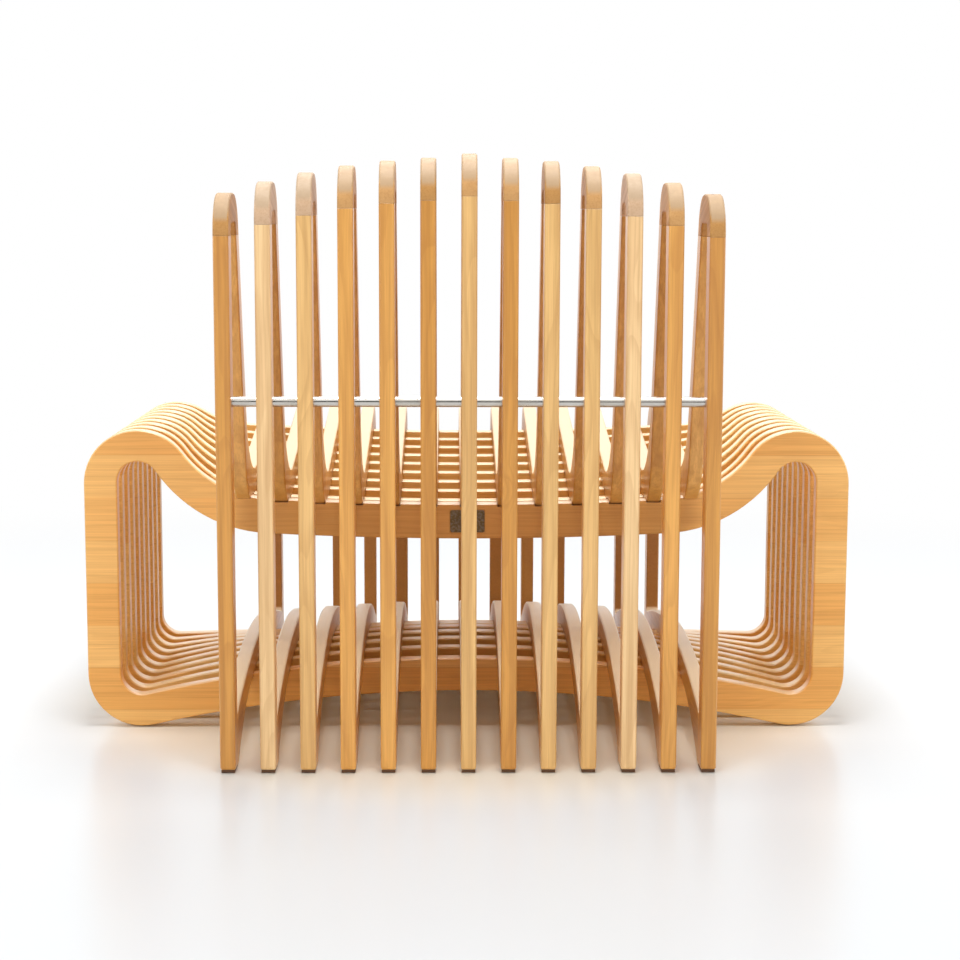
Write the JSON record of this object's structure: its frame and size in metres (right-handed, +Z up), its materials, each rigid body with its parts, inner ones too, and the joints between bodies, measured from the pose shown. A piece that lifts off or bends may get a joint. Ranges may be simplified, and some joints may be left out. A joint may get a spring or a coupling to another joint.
{
  "type": "lounge chair",
  "caption": "Low wooden lounge chair of upright side frames and wide cross ribs notched together like a grid, with rounded arms and a steel rod through the back.",
  "frame": {"origin": "on the floor, midway between the two arms and midway between the front and rear feet", "axes": "+Z up, -Y towards the front of the seat, +X towards the left arm of someone sitting in it"},
  "size_m": [1.026, 0.746, 0.766],
  "materials": {
    "post_wood": "satin oiled",
    "loop_wood": "satin oiled",
    "rib_wood": "satin oiled",
    "rod_steel": "polished",
    "glide_plastic": "matt",
    "plate_metal": "satin"
  },
  "bodies": {
    "root": {"rear_post_01": "post_wood", "rear_post_02": "post_wood", "rear_post_03": "post_wood", "rear_post_04": "post_wood", "rear_post_05": "post_wood", "rear_post_06": "post_wood", "rear_post_07": "post_wood", "rear_post_08": "post_wood", "rear_post_09": "post_wood", "rear_post_10": "post_wood", "rear_post_11": "post_wood", "rear_post_12": "post_wood", "rear_post_13": "post_wood", "top_block_01": "post_wood", "top_block_02": "post_wood", "top_block_03": "post_wood", "top_block_04": "post_wood", "top_block_05": "post_wood", "top_block_06": "post_wood", "top_block_07": "post_wood", "top_block_08": "post_wood", "top_block_09": "post_wood", "top_block_10": "post_wood", "top_block_11": "post_wood", "top_block_12": "post_wood", "top_block_13": "post_wood", "seat_loop_01": "loop_wood", "seat_loop_02": "loop_wood", "seat_loop_03": "loop_wood", "seat_loop_04": "loop_wood", "seat_loop_05": "loop_wood", "seat_loop_06": "loop_wood", "seat_loop_07": "loop_wood", "seat_loop_08": "loop_wood", "seat_loop_09": "loop_wood", "seat_loop_10": "loop_wood", "seat_loop_11": "loop_wood", "seat_loop_12": "loop_wood", "seat_loop_13": "loop_wood", "cross_rib_01": "rib_wood", "cross_rib_02": "rib_wood", "cross_rib_03": "rib_wood", "cross_rib_04": "rib_wood", "cross_rib_05": "rib_wood", "cross_rib_06": "rib_wood", "cross_rib_07": "rib_wood", "cross_rib_08": "rib_wood", "cross_rib_09": "rib_wood", "cross_rib_10": "rib_wood", "back_tie_rod": "rod_steel", "rear_foot_glides": "glide_plastic", "front_foot_glides": "glide_plastic", "name_plate": "plate_metal"}
  },
  "joints": []
}
